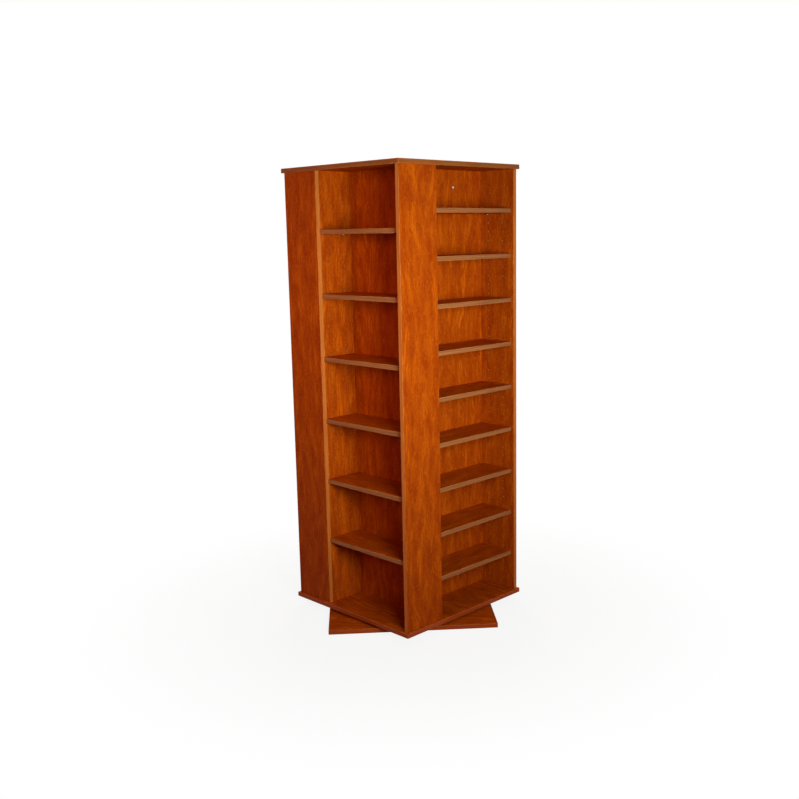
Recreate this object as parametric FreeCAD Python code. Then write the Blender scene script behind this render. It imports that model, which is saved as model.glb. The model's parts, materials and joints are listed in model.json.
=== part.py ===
import FreeCAD, Part
import math
import os

from FreeCAD import Vector

# A four-sided revolving tower for discs. Eight upright boards stand in a pinwheel: each face has
# one wide corner panel beside one open bay of shelves, and the back of every bay is the divider
# that belongs to the next face round. The tower turns on a pressed-steel ball bearing that is
# screwed to a square base board. Sizes are in millimetres. +Z is up, the origin is on the floor
# on the turning axis, and the four faces are called front (-Y), right (+X), back (+Y), left (-X).

# Overall sizes
TOWER_H = 1600.0           # turning part, over its bottom and top boards
BODY_W = 586.0             # square over the upright boards
CAP_OVERHANG = 8.0         # top and bottom boards past the uprights
BASE_W = 602.0             # square base board
BASE_TURN = 48.6           # how far the base board is turned from the tower, degrees

# Boards
UPRIGHT_T = 16.0
CAP_T = 16.0
BASE_T = 16.0
SHELF_T = 16.0
PANEL_W = 172.0            # wide corner panel, across the face
ARRIS = 0.8                # broken edge of the edge banding

# Shelves rest on pins in rows of holes at one pitch, and each side sets its own shelf spacing
HOLE_PITCH = 32.0
FIRST_HOLE = 37.0          # lowest hole above the bottom board
PIN_ROW_INSET = 37.0       # pin rows in from the front and the back of the shelf
SHELF_RECESS = 13.0        # shelf front behind the face of the tower
SHELF_GAP = 0.5            # shelf to the boards at its ends and behind it
MIN_HEADROOM = 60.0        # least height left over the top shelf
FACES = ("front", "right", "back", "left")
SHELF_HOLES = {            # lowest shelf's hole number, and holes from one shelf to the next
    "front": (7, 7),
    "right": (4, 5),
    "back": (7, 7),
    "left": (7, 7),
}

# Fixings. Small round pieces that repeat are drawn with a few flat sides, one of them upwards.
ROUND_SIDES = 6
PIN_D = 5.0
PIN_IN = 9.0               # pin inside the board
PIN_OUT = 8.0              # pin under the shelf
DOWEL_D = 8.0
DOWEL_IN_FACE = 10.0       # dowel in the face of the board that it meets
DOWEL_IN_END = 20.0        # dowel in the end of the board that it carries
SCREW_D = 5.0
SCREW_HEAD_D = 10.0
SCREW_HEAD_H = 3.0
SCREW_IN_END = 34.0        # screw in the end of a board
FIXING_INSET = 60.0        # first fixing in from the end of a joint
FIXINGS_UP_JOINT = 3       # along each upright joint

# Ball bearing, two pressed plates with a ring of balls between them
PLATE_W = 229.0
PLATE_CORNER_R = 12.0
SHEET_T = 1.2
RACE_R = 82.0              # turning axis to the centres of the balls
BALL_D = 4.8
BALL_COUNT = 16
BALL_GAP = 0.05            # ball to race
LIP_GAP = 0.3              # upper plate's rim under the lower plate's rolled lip
LIP_COVER = 3.0            # how far the lip reaches over the rim
TOP_GAP = 0.4              # lip to the board above it
CAGE_T = 1.0
CAGE_REACH = 2.0           # cage past the balls, outwards
CAGE_GAP = 0.3             # cage to the balls and the inner wall
PLATE_SCREW_INSET = 12.0
PLATE_SCREW_D = 4.0
PLATE_SCREW_HEAD_D = 8.0
PLATE_SCREW_HEAD_H = 2.2
PLATE_SCREW_IN = 11.0      # screw inside the board
ACCESS_HOLE_D = 20.0       # hole in the base board to reach the upper plate's screws

# Glides under the base board
GLIDE_D = 25.0
GLIDE_H = 3.0
GLIDE_SIDES = 12
GLIDE_INSET = 45.0
NAIL_D = 2.5
NAIL_L = 11.0

# Heights and radii worked out from the sizes above
half_w = BODY_W / 2
bay_d = PANEL_W - UPRIGHT_T
ball_r = BALL_D / 2
race_clear_r = ball_r + BALL_GAP
ball_z = SHEET_T + race_clear_r
rim_z = ball_z + race_clear_r
lip_z = rim_z + SHEET_T + LIP_GAP
bearing_h = lip_z + SHEET_T + TOP_GAP
base_z = GLIDE_H
bearing_z = base_z + BASE_T
tower_z = bearing_z + bearing_h
upright_z = tower_z + CAP_T
cap_z = tower_z + TOWER_H - CAP_T
upright_h = cap_z - upright_z
wall_r = RACE_R - race_clear_r
race_slope = race_clear_r * (math.sqrt(2) - 1)
plate_screw_at = PLATE_W / 2 - PLATE_SCREW_INSET

X_AXIS = Vector(1, 0, 0)
Y_AXIS = Vector(0, 1, 0)
Z_AXIS = Vector(0, 0, 1)


# --- Shared shapes -------------------------------------------------------------------------

def block(low, high):
    """A box between two corners."""
    return Part.makeBox(high[0] - low[0], high[1] - low[1], high[2] - low[2], Vector(*low))


def is_along(edge, axis):
    """Whether a straight edge runs along an axis."""
    return abs(edge.tangentAt(edge.FirstParameter).dot(axis)) > 0.5


def upright(low, high):
    """An upright board whose four long edges are broken by the arris."""
    plain = block(low, high)
    return plain.makeChamfer(ARRIS, [edge for edge in plain.Edges if is_along(edge, Z_AXIS)])


def flat_board(width, thickness, z):
    """A square board lying round the turning axis at height z, every edge broken by the arris."""
    plain = block((-width / 2, -width / 2, z), (width / 2, width / 2, z + thickness))
    return plain.makeChamfer(ARRIS, plain.Edges)


def turned(shape, degrees):
    """A copy turned about the turning axis."""
    copy = shape.copy()
    copy.rotate(Vector(0, 0, 0), Z_AXIS, degrees)
    return copy


def on_face(shapes, face):
    """Shapes drawn for the front face, turned to another face."""
    return [turned(shape, 90 * FACES.index(face)) for shape in shapes]


def corners(radius, centre, axis, sides):
    """Corners of a regular polygon square to an axis, with one flat side upwards."""
    up = X_AXIS if abs(axis.z) > 0.5 else Z_AXIS
    side = axis.cross(up)
    points = []
    for i in range(sides):
        angle = 2 * math.pi * (i + 0.5) / sides
        points.append(centre + up * (radius * math.cos(angle)) + side * (radius * math.sin(angle)))
    return points


def face_of(points):
    """The flat face with these corners."""
    return Part.Face(Part.makePolygon(points + points[:1]))


def rod(across, start, axis, length, sides=ROUND_SIDES):
    """A straight rod from a start point along an axis, given its size across flats."""
    corner_r = across / 2 / math.cos(math.pi / sides)
    return face_of(corners(corner_r, start, axis, sides)).extrude(axis * length)


def screw(head_d, head_h, shank_d, shank_l, seat, axis):
    """A screw whose head rests at the seat point; the shank runs along the axis."""
    head = rod(head_d, seat - axis * head_h, axis, head_h)
    return head.fuse(rod(shank_d, seat, axis, shank_l)).removeSplitter()


def drilled(body, fixings):
    """The body with a hole for each fixing, exactly the fixing's own shape."""
    return body.cut(Part.makeCompound(fixings)).removeSplitter()


def save(name, solids):
    """Write one node: a solid, or a group of separate solids."""
    shape = solids[0] if len(solids) == 1 else Part.makeCompound(solids)
    shape.exportStep("parts/" + name + ".step")


# --- Upright boards, all drawn for the front face ------------------------------------------

def corner_panel():
    """The wide panel at the left of a face. Its right edge is the side of the bay."""
    return upright((-half_w, -half_w, upright_z), (-half_w + PANEL_W, -half_w + UPRIGHT_T, cap_z))


def divider():
    """The board behind the corner panel's inner edge, running in to meet the next divider."""
    inner = -half_w + PANEL_W
    return upright((inner - UPRIGHT_T, -half_w + UPRIGHT_T, upright_z), (inner, half_w - PANEL_W, cap_z))


def up_joint():
    """Heights of the fixings along an upright joint."""
    first = upright_z + FIXING_INSET
    step = (upright_h - 2 * FIXING_INSET) / (FIXINGS_UP_JOINT - 1)
    return [first + i * step for i in range(FIXINGS_UP_JOINT)]


def panel_dowels():
    """Dowels from the back of the corner panel into the front edge of its divider."""
    x = -half_w + PANEL_W - UPRIGHT_T / 2
    start = -half_w + UPRIGHT_T - DOWEL_IN_FACE
    length = DOWEL_IN_FACE + DOWEL_IN_END
    return [rod(DOWEL_D, Vector(x, start, z), Y_AXIS, length) for z in up_joint()]


def divider_screws():
    """Screws through the left face's divider into the inner edge of this one."""
    x = -half_w + PANEL_W - UPRIGHT_T / 2
    seat = half_w - PANEL_W + UPRIGHT_T - SCREW_HEAD_H
    shank = UPRIGHT_T - SCREW_HEAD_H + SCREW_IN_END
    screws = []
    for z in up_joint():
        screws.append(screw(SCREW_HEAD_D, SCREW_HEAD_H, SCREW_D, shank, Vector(x, seat, z), -Y_AXIS))
    return screws


def end_points():
    """Plan points where the ends of one panel and its divider are fixed to the cap boards."""
    panel_y = -half_w + UPRIGHT_T / 2
    divider_x = -half_w + PANEL_W - UPRIGHT_T / 2
    return [
        (-half_w + PANEL_W / 2, panel_y),
        (divider_x, -half_w + UPRIGHT_T + FIXING_INSET),
        (divider_x, half_w - PANEL_W - FIXING_INSET),
    ]


def top_dowels():
    """Dowels from the top ends of the uprights into the underside of the top board."""
    length = DOWEL_IN_END + DOWEL_IN_FACE
    return [rod(DOWEL_D, Vector(x, y, cap_z - DOWEL_IN_END), Z_AXIS, length) for x, y in end_points()]


def bottom_screws():
    """Screws up through the bottom board into the lower ends of the uprights."""
    seat = tower_z + SCREW_HEAD_H
    shank = CAP_T - SCREW_HEAD_H + SCREW_IN_END
    screws = []
    for x, y in end_points():
        screws.append(screw(SCREW_HEAD_D, SCREW_HEAD_H, SCREW_D, shank, Vector(x, y, seat), Z_AXIS))
    return screws


# --- Shelves and their pins, drawn for the front face --------------------------------------

def pin_heights(face):
    """Heights of the pins' centres on a face, as far up as a shelf still leaves headroom."""
    number, step = SHELF_HOLES[face]
    highest = cap_z - MIN_HEADROOM - SHELF_T - PIN_D / 2
    heights = []
    z = upright_z + FIRST_HOLE + (number - 1) * HOLE_PITCH
    while z <= highest:
        heights.append(z)
        z += step * HOLE_PITCH
    return heights


def shelf(pin_z):
    """One shelf, lying on its four pins."""
    low_z = pin_z + PIN_D / 2
    front_y = -half_w + SHELF_RECESS
    low = (-half_w + PANEL_W + SHELF_GAP, front_y, low_z)
    high = (half_w - UPRIGHT_T - SHELF_GAP, -half_w + bay_d - SHELF_GAP, low_z + SHELF_T)
    plain = block(low, high)
    front_edges = [e for e in plain.Edges if is_along(e, X_AXIS) and e.BoundBox.YMax < front_y + ARRIS]
    return plain.makeChamfer(ARRIS, front_edges)


def shelf_pins(pin_z):
    """The four pins of one shelf, two in the divider and two in the panel across the bay."""
    rows = (-half_w + SHELF_RECESS + PIN_ROW_INSET, -half_w + bay_d - PIN_ROW_INSET)
    pins = []
    for y in rows:
        pins.append(rod(PIN_D, Vector(-half_w + PANEL_W - PIN_IN, y, pin_z), X_AXIS, PIN_IN + PIN_OUT))
        pins.append(rod(PIN_D, Vector(half_w - UPRIGHT_T - PIN_OUT, y, pin_z), X_AXIS, PIN_IN + PIN_OUT))
    return pins


# --- Ball bearing, drawn square to the axes at height 0 -------------------------------------

def plate_sheet(z, hole_r):
    """A square sheet with round corners and a round hole."""
    sheet = block((-PLATE_W / 2, -PLATE_W / 2, z), (PLATE_W / 2, PLATE_W / 2, z + SHEET_T))
    sheet = sheet.makeFillet(PLATE_CORNER_R, [edge for edge in sheet.Edges if is_along(edge, Z_AXIS)])
    return sheet.cut(Part.makeCylinder(hole_r, SHEET_T, Vector(0, 0, z)))


def ring(profile):
    """A ring turned from a section of radius and height points."""
    section = face_of([Vector(r, 0, z) for r, z in profile])
    return section.revolve(Vector(0, 0, 0), Z_AXIS, 360)


def lower_plate():
    """Flat sheet, a sloped race inside it, a wall and a lip rolled outwards over the rim."""
    join_r = RACE_R + race_clear_r
    lip_r = wall_r + LIP_COVER
    profile = [
        (join_r, 0),
        (wall_r - SHEET_T, 0),
        (wall_r - SHEET_T, lip_z + SHEET_T),
        (lip_r, lip_z + SHEET_T),
        (lip_r, lip_z),
        (wall_r, lip_z),
        (wall_r, ball_z - race_slope),
        (RACE_R - race_slope, SHEET_T),
        (join_r, SHEET_T),
    ]
    return plate_sheet(0, join_r).fuse(ring(profile)).removeSplitter()


def upper_plate():
    """Flat sheet, a sloped race over the balls and a rim that runs under the lower plate's lip."""
    flat_z = bearing_h - SHEET_T
    join_r = RACE_R + race_clear_r + SHEET_T
    step_r = wall_r + LIP_COVER + LIP_GAP
    profile = [
        (join_r, bearing_h),
        (step_r, bearing_h),
        (step_r, rim_z + SHEET_T),
        (wall_r + LIP_GAP, rim_z + SHEET_T),
        (wall_r + LIP_GAP, rim_z),
        (RACE_R + race_slope, rim_z),
        (RACE_R + race_clear_r, ball_z + race_slope),
        (join_r, flat_z),
    ]
    return plate_sheet(flat_z, join_r).fuse(ring(profile)).removeSplitter()


def ball(angle):
    """One ball of the ring, drawn with flat facets between rings of corners."""
    bands = ROUND_SIDES // 2
    rings = []
    for i in range(bands):
        tilt = math.pi * ((i + 0.5) / bands - 0.5)
        centre = Vector(RACE_R, 0, ball_z + ball_r * math.sin(tilt))
        rings.append(corners(ball_r * math.cos(tilt), centre, Z_AXIS, ROUND_SIDES))
    facets = [face_of(rings[0][::-1]), face_of(rings[-1])]
    for low, high in zip(rings, rings[1:]):
        for i in range(ROUND_SIDES):
            facets.append(face_of([low[i - 1], low[i], high[i], high[i - 1]]))
    return turned(Part.Solid(Part.Shell(facets)), angle)


def ball_angles():
    """Angles of the balls round the ring."""
    return [360 / BALL_COUNT * i for i in range(BALL_COUNT)]


def ball_cage():
    """A flat ring with a pocket for each ball, open towards the inner wall."""
    low_z = ball_z - CAGE_T / 2
    centre = Vector(0, 0, low_z)
    cage = rod(2 * (RACE_R + ball_r + CAGE_REACH), centre, Z_AXIS, CAGE_T, BALL_COUNT)
    hole = rod(2 * (wall_r + CAGE_GAP), centre, Z_AXIS, CAGE_T, BALL_COUNT)
    pocket_r = ball_r + CAGE_GAP
    pocket = block((wall_r, -pocket_r, low_z), (RACE_R + pocket_r, pocket_r, low_z + CAGE_T))
    return cage.cut(Part.makeCompound([hole] + [turned(pocket, angle) for angle in ball_angles()]))


def plate_screws(seat_z, axis):
    """Four screws at the corners of a plate, heads on the sheet."""
    screws = []
    for x in (-plate_screw_at, plate_screw_at):
        for y in (-plate_screw_at, plate_screw_at):
            seat = Vector(x, y, seat_z)
            shank_l = SHEET_T + PLATE_SCREW_IN
            screws.append(screw(PLATE_SCREW_HEAD_D, PLATE_SCREW_HEAD_H, PLATE_SCREW_D, shank_l, seat, axis))
    return screws


# --- Base -----------------------------------------------------------------------------------

def glide(x, y):
    """A flat glide with its nail."""
    foot = rod(GLIDE_D, Vector(x, y, 0), Z_AXIS, GLIDE_H, GLIDE_SIDES)
    return foot.fuse(rod(NAIL_D, Vector(x, y, GLIDE_H), Z_AXIS, NAIL_L))


def glides():
    """One glide near each corner of the base board."""
    at = BASE_W / 2 - GLIDE_INSET
    return [glide(x, y) for x in (-at, at) for y in (-at, at)]


def base_board():
    """The base board with its access hole, before the fixings are drilled."""
    plain = flat_board(BASE_W, BASE_T, base_z)
    access = Vector(plate_screw_at * math.sqrt(2), 0, base_z)
    return plain.cut(Part.makeCylinder(ACCESS_HOLE_D / 2, BASE_T, access))


# --- The object -----------------------------------------------------------------------------

def build_base():
    """Everything that stays still: base board, glides, lower plate and its screws."""
    plate = lower_plate()
    plate.translate(Z_AXIS * bearing_z)
    screws = plate_screws(bearing_z + SHEET_T, -Z_AXIS)
    feet = glides()
    pieces = {
        "base_board": [drilled(base_board(), screws + feet)],
        "bearing_lower_plate": [drilled(plate, screws)],
        "base_plate_screws": screws,
        "base_glides": feet,
    }
    for name, solids in pieces.items():
        save(name, [turned(solid, BASE_TURN) for solid in solids])


def build_ball_ring():
    """The balls and their cage, which roll round at half the tower's speed."""
    lift = Z_AXIS * bearing_z
    save("bearing_balls", [ball(angle).translated(lift) for angle in ball_angles()])
    save("bearing_cage", [ball_cage().translated(lift)])


def build_shelves():
    """Every shelf as a node of its own, and the pins of each face as one group."""
    pins = {}
    for face in FACES:
        heights = pin_heights(face)
        for number, pin_z in enumerate(heights, 1):
            save(f"shelf_{face}_{number}", on_face([shelf(pin_z)], face))
        pins[face] = on_face([pin for pin_z in heights for pin in shelf_pins(pin_z)], face)
        save(f"shelf_pins_{face}", pins[face])
    return pins


def build_uprights(pins):
    """The four corner panels and four dividers, drilled for pins, dowels and screws."""
    dowels = {face: on_face(panel_dowels(), face) for face in FACES}
    cross_screws = {face: on_face(divider_screws(), face) for face in FACES}
    for i, face in enumerate(FACES):
        before = FACES[i - 1]
        after = FACES[(i + 1) % len(FACES)]
        ends = on_face(top_dowels() + bottom_screws(), face)
        panel = on_face([corner_panel()], face)[0]
        save(f"corner_panel_{face}", [drilled(panel, dowels[face] + pins[before] + ends)])
        inner = on_face([divider()], face)[0]
        fixings = dowels[face] + pins[face] + cross_screws[face] + cross_screws[after] + ends
        save(f"divider_{face}", [drilled(inner, fixings)])
    save("panel_dowels", [dowel for face in FACES for dowel in dowels[face]])
    save("divider_screws", [item for face in FACES for item in cross_screws[face]])


def build_caps():
    """Top and bottom boards with their fixings, and the upper plate of the bearing."""
    dowels = [item for face in FACES for item in on_face(top_dowels(), face)]
    screws = [item for face in FACES for item in on_face(bottom_screws(), face)]
    plate = upper_plate()
    plate.translate(Z_AXIS * bearing_z)
    hangers = plate_screws(tower_z - SHEET_T, Z_AXIS)
    cap_w = BODY_W + 2 * CAP_OVERHANG
    save("top_board", [drilled(flat_board(cap_w, CAP_T, cap_z), dowels)])
    save("bottom_board", [drilled(flat_board(cap_w, CAP_T, tower_z), screws + hangers)])
    save("top_dowels", dowels)
    save("bottom_screws", screws)
    save("bearing_upper_plate", [drilled(plate, hangers)])
    save("tower_plate_screws", hangers)


os.makedirs("parts", exist_ok=True)
build_base()
build_ball_ring()
build_uprights(build_shelves())
build_caps()
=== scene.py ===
# %% [markdown]
# # A revolving tower for discs
#
# The object is a square tower of laminated boards that turns on a flat ball bearing. Eight upright
# boards stand in a pinwheel, so each of the four sides has one wide corner panel beside one open bay
# of shelves. The construction model already holds every board, pin, screw and ball at its real size
# and place. This lesson dresses it: each board gets taped edges and a cherry print, and each small
# round part gets its true round shape. Everything is in metres, in the construction model's own
# frame: +Z is up, the origin is on the floor on the turning axis.

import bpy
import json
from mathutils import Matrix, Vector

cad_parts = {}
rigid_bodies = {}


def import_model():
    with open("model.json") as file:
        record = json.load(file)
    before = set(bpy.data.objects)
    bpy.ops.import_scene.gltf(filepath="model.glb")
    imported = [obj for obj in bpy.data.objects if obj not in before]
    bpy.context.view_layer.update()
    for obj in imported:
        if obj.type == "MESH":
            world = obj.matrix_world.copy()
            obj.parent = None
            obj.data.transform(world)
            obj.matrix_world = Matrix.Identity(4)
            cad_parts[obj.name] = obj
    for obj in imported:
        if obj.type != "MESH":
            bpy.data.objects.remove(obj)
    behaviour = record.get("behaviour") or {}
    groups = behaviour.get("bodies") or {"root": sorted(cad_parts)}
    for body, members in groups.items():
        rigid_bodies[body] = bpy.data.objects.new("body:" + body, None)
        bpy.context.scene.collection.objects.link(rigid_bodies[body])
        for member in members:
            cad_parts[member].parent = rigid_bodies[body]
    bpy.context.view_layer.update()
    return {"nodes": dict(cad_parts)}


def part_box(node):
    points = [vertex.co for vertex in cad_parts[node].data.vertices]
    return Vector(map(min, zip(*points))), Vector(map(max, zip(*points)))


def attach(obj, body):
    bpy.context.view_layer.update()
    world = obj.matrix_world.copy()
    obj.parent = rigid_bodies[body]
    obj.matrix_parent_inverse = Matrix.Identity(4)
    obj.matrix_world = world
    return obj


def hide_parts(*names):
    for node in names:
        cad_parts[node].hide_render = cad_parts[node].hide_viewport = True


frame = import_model()

# %% Modules and units
import json
import math

import bmesh
import bpy
from mathutils import Matrix, Vector
from mathutils.geometry import tessellate_polygon

MM = 0.001
FACES = ("front", "right", "back", "left")
AXES = (Vector((1, 0, 0)), Vector((0, 1, 0)), Vector((0, 0, 1)))

# %% [markdown]
# ## Camera
#
# A tall cabinet looks best from a little below its top, almost four metres away and square on to one
# corner, so that two sides show. The lens is of normal length. From this far off it keeps the upright
# edges close to parallel. The heading, tilt and roll are turned into one matrix, because a matrix says
# exactly in which order the turns are made.

# %% Camera
EYE = Vector((2.551, -2.478, 1.397))
HEADING = math.radians(44.97)           # to the left of looking along +Y
TILT = math.radians(9.86)               # below the level
ROLL = math.radians(-1.03)
LENS_MM = 43.78
FRAME_SHIFT = (-0.0248, 0.0019)         # shares of the frame that the lens is shifted by

camera = bpy.data.objects.new("camera", bpy.data.cameras.new("camera"))
camera.data.lens = LENS_MM
camera.data.shift_x, camera.data.shift_y = FRAME_SHIFT
turns = (
    Matrix.Rotation(HEADING, 4, "Z")
    @ Matrix.Rotation(math.pi / 2 - TILT, 4, "X")
    @ Matrix.Rotation(ROLL, 4, "Z")
)
camera.matrix_world = Matrix.Translation(EYE) @ turns
bpy.context.scene.collection.objects.link(camera)
bpy.context.scene.camera = camera
bpy.context.scene.view_settings.view_transform = "Standard"
print("camera", round(EYE.length, 2), "m from the foot of the tower")

# %% [markdown]
# ## Colours and nodes
#
# Colours are written as sRGB hex, the way a paint chart gives them. Blender's shaders work in linear
# light, so one function converts them. A second small function adds a node: it takes the node's
# switches, then its inputs, where each input is either a value or another node's output.

# %% Hex colour to linear light
def linear(hex_colour):
    """An sRGB hex colour as the linear RGBA that the shaders work in."""
    channels = [int(hex_colour[i:i + 2], 16) / 255 for i in (1, 3, 5)]
    return [c / 12.92 if c <= 0.04045 else ((c + 0.055) / 1.055) ** 2.4 for c in channels] + [1.0]


print("mid grey #BCBCBC is", round(linear("#BCBCBC")[0], 3), "in linear light")

# %% Add a node
def add(tree, kind, settings, inputs, output=None):
    """Adds a node and returns one output of it. An input is named, or numbered where names repeat."""
    made = tree.nodes.new(kind)
    for name, value in settings.items():
        setattr(made, name, value)
    for name, value in inputs.items():
        by_name = [s for s in made.inputs if s.enabled and s.name == name]
        socket = by_name[0] if by_name else made.inputs[name]
        if isinstance(value, bpy.types.NodeSocket):
            tree.links.new(value, socket)
        else:
            socket.default_value = value
    outputs = [s for s in made.outputs if s.enabled and output in (None, s.name)]
    return outputs[0] if outputs else None


# %% [markdown]
# ## Studio
#
# The room is plain: pale floor, pale surroundings and large soft lamps. A ray that comes straight from
# the camera, off a glossy surface or through glass sees the surroundings and the floor as white. The
# light that they spread is dim and as warm as the wood, so the shaded parts of the tower come out darker
# and redder than the lit ones. The floor is a pale matt sheet under a white veil. The veil is thinnest
# round the tower, where the sheet has to hold a soft shadow, and closes further out, so that no horizon
# shows.

# %% Which rays see the white surroundings
def seen_directly(tree):
    """1 for camera, glossy and transmission rays, and 0 for the rays that only carry light about."""
    path = tree.nodes.new("ShaderNodeLightPath")
    seen = path.outputs["Is Camera Ray"]
    for ray in ("Is Glossy Ray", "Is Transmission Ray"):
        both = {0: seen, 1: path.outputs[ray]}
        seen = add(tree, "ShaderNodeMath", {"operation": "ADD", "use_clamp": True}, both)
    return seen


# %% Surroundings
WHITE = linear("#FFFFFF")
SURROUND_LIGHT = linear("#FFAE8C")
SURROUND_STRENGTH = 0.14

world = bpy.data.worlds.new("studio_surroundings")
world.use_nodes = True
tree = world.node_tree
tree.nodes.clear()
soft = add(tree, "ShaderNodeBackground", {}, {"Color": SURROUND_LIGHT, "Strength": SURROUND_STRENGTH})
white = add(tree, "ShaderNodeBackground", {}, {"Color": WHITE, "Strength": 1.0})
both = add(tree, "ShaderNodeMixShader", {}, {0: seen_directly(tree), 1: soft, 2: white})
add(tree, "ShaderNodeOutputWorld", {}, {"Surface": both})
bpy.context.scene.world = world
print("even light from the surroundings:", SURROUND_STRENGTH)

# %% Floor sheet
FLOOR_SIZE = 30.0
FLOOR_CELLS = 8
FLOOR_FADE = (0.4, 1.3)                 # how far from the axis the veil starts and ends closing
NEAR_VEIL = 0.88                        # share of white in the sheet beside the tower
FLOOR_SEEN = linear("#ECF4FB")          # the sheet as it is seen
FLOOR_BOUNCE = linear("#A84E38")        # the sheet as it throws light back at the tower

floor_bm = bmesh.new()
bmesh.ops.create_grid(floor_bm, x_segments=FLOOR_CELLS, y_segments=FLOOR_CELLS, size=FLOOR_SIZE / 2)
floor_mesh = bpy.data.meshes.new("floor_sheet")
floor_bm.to_mesh(floor_mesh)
floor_bm.free()
floor_sheet = bpy.data.objects.new("floor_sheet", floor_mesh)
bpy.context.scene.collection.objects.link(floor_sheet)
print("floor sheet", FLOOR_SIZE, "m square")

# %% Floor paint
matt_floor = bpy.data.materials.new("matt_white_floor_sheet")
matt_floor.use_nodes = True
tree = matt_floor.node_tree
tree.nodes.clear()
where = add(tree, "ShaderNodeTexCoord", {}, {}, "Object")
from_axis = add(tree, "ShaderNodeVectorMath", {"operation": "LENGTH"}, {0: where}, "Value")
limits = {"From Min": FLOOR_FADE[0], "From Max": FLOOR_FADE[1], "To Min": NEAR_VEIL}
veil = add(tree, "ShaderNodeMapRange", {"interpolation_type": "SMOOTHSTEP"}, {"Value": from_axis, **limits})
seen = seen_directly(tree)
fade = add(tree, "ShaderNodeMath", {"operation": "MULTIPLY"}, {0: veil, 1: seen})
sheet_inputs = {"Factor": seen, "A": FLOOR_BOUNCE, "B": FLOOR_SEEN}
sheet_colour = add(tree, "ShaderNodeMix", {"data_type": "RGBA"}, sheet_inputs)
matt = add(tree, "ShaderNodeBsdfDiffuse", {}, {"Color": sheet_colour})
glow = add(tree, "ShaderNodeEmission", {}, {"Color": WHITE, "Strength": 1.0})
floor_mix = add(tree, "ShaderNodeMixShader", {}, {0: fade, 1: matt, 2: glow})
add(tree, "ShaderNodeOutputMaterial", {}, {"Surface": floor_mix})
floor_mesh.materials.append(matt_floor)
print("the veil closes between", FLOOR_FADE, "m from the axis")

# %% [markdown]
# ## Lamps
#
# The key lamp hangs on the right, at chest height and close by. A grid on it narrows the beam, so the
# tower is brightest along its near corner and darkens towards the foot. The fill lamp is much weaker
# and warmer, so that the left side comes out darker and redder than the right. The third lamp is for
# the two sides at the back, and the last one, overhead, is for the top.

# %% Hang a soft lamp
def softbox(name, place, aim, width, spread, watts, colour):
    """A square lamp behind a diffusing sheet and a grid, which narrows its beam to spread degrees."""
    lamp = bpy.data.lights.new(name, "AREA")
    lamp.shape = "SQUARE"
    lamp.size = width
    lamp.spread = math.radians(spread)
    lamp.energy = watts
    lamp.color = linear(colour)[:3]
    hung = bpy.data.objects.new(name, lamp)
    hung.location = place
    hung.rotation_euler = (Vector(aim) - hung.location).to_track_quat("-Z", "Y").to_euler()
    bpy.context.scene.collection.objects.link(hung)
    print(name, watts, "W")


# %% The four lamps
KEY_AIM = (0.2, -0.2, 1.1)              # just inside the near corner, above its middle
FILL_AIM = (-0.1, -0.3, 1.2)            # on the front side
TOWER_AIM = (0, 0, 0.9)
WARM_WHITE = "#FFF6EC"

softbox("key_softbox", (2.1, -1.1, 1.25), KEY_AIM, width=0.8, spread=80, watts=12.1, colour="#F6FFF0")
softbox("fill_softbox", (-0.4, -2.2, 1.6), FILL_AIM, width=0.8, spread=60, watts=1.5, colour="#FFB088")
softbox("back_softbox", (-2.0, 2.0, 2.2), TOWER_AIM, width=1.6, spread=150, watts=34, colour=WARM_WHITE)
softbox("top_softbox", (0, 0, 3.2), TOWER_AIM, width=0.8, spread=40, watts=2.4, colour=WARM_WHITE)

# %% [markdown]
# ## Cherry print on the board faces
#
# The boards are chipboard pressed with melamine paper that is printed to look like flat-sawn American
# cherry, a cheap and hard-wearing finish. The eye reads it from what the wood would have: arches and
# spindles where a flat cut runs through the growth rings, patches that took the stain darker, fine
# fibres along the grain, short light flecks where a ray was cut and short dark ones for the pores. Over
# it all lies a low satin sheen that never quite mirrors. A wave pattern would repeat like wallpaper,
# and plain noise has no arches. So the rings are built as a tree has them: their shade depends on the
# distance from a pith line that wanders below the face. Each board reads the print from its own axes,
# X along the grain, and starts further along the roll than the one before, so no two are alike.

# %% Start a material
METAL_IOR = 1.5                         # the shader's own default, which metals keep


def finish(name, ior, roughness, metallic=0.0, gloss=0.5):
    """A new material with one Principled shader. Returns the material, its tree and the shader."""
    made = bpy.data.materials.new(name)
    made.use_nodes = True
    shader = made.node_tree.nodes["Principled BSDF"]
    shader.inputs["IOR"].default_value = ior
    shader.inputs["Roughness"].default_value = roughness
    shader.inputs["Metallic"].default_value = metallic
    shader.inputs["Specular IOR Level"].default_value = gloss
    print("finish", name)
    return made, made.node_tree, shader


# %% Where a point lies on its own board
ROLL_STEP = Vector((1.7, 0, 0))         # how much further along the printed roll each piece starts


def own_place(tree, turn=0.0):
    """A point in its piece's own axes, turned back about Z, and moved along by the piece's number."""
    place = add(tree, "ShaderNodeTexCoord", {}, {}, "Object")
    if turn:
        settings = {"rotation_type": "Z_AXIS"}
        place = add(tree, "ShaderNodeVectorRotate", settings, {"Vector": place, "Angle": -turn})
    number = add(tree, "ShaderNodeObjectInfo", {}, {}, "Object Index")
    step = add(tree, "ShaderNodeVectorMath", {"operation": "SCALE"}, {0: ROLL_STEP, "Scale": number})
    return add(tree, "ShaderNodeVectorMath", {"operation": "ADD"}, {0: place, 1: step})


# %% Streaks drawn out along the grain
def streaks(tree, place, size, detail=2.0, output="Fac"):
    """Noise whose blotches have a real size in metres: along the grain, across it and through it."""
    scale = [1 / length for length in size]
    drawn_out = add(tree, "ShaderNodeMapping", {}, {"Vector": place, "Scale": scale})
    inputs = {"Vector": drawn_out, "Scale": 1.0, "Detail": detail}
    return add(tree, "ShaderNodeTexNoise", {}, inputs, output)


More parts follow.
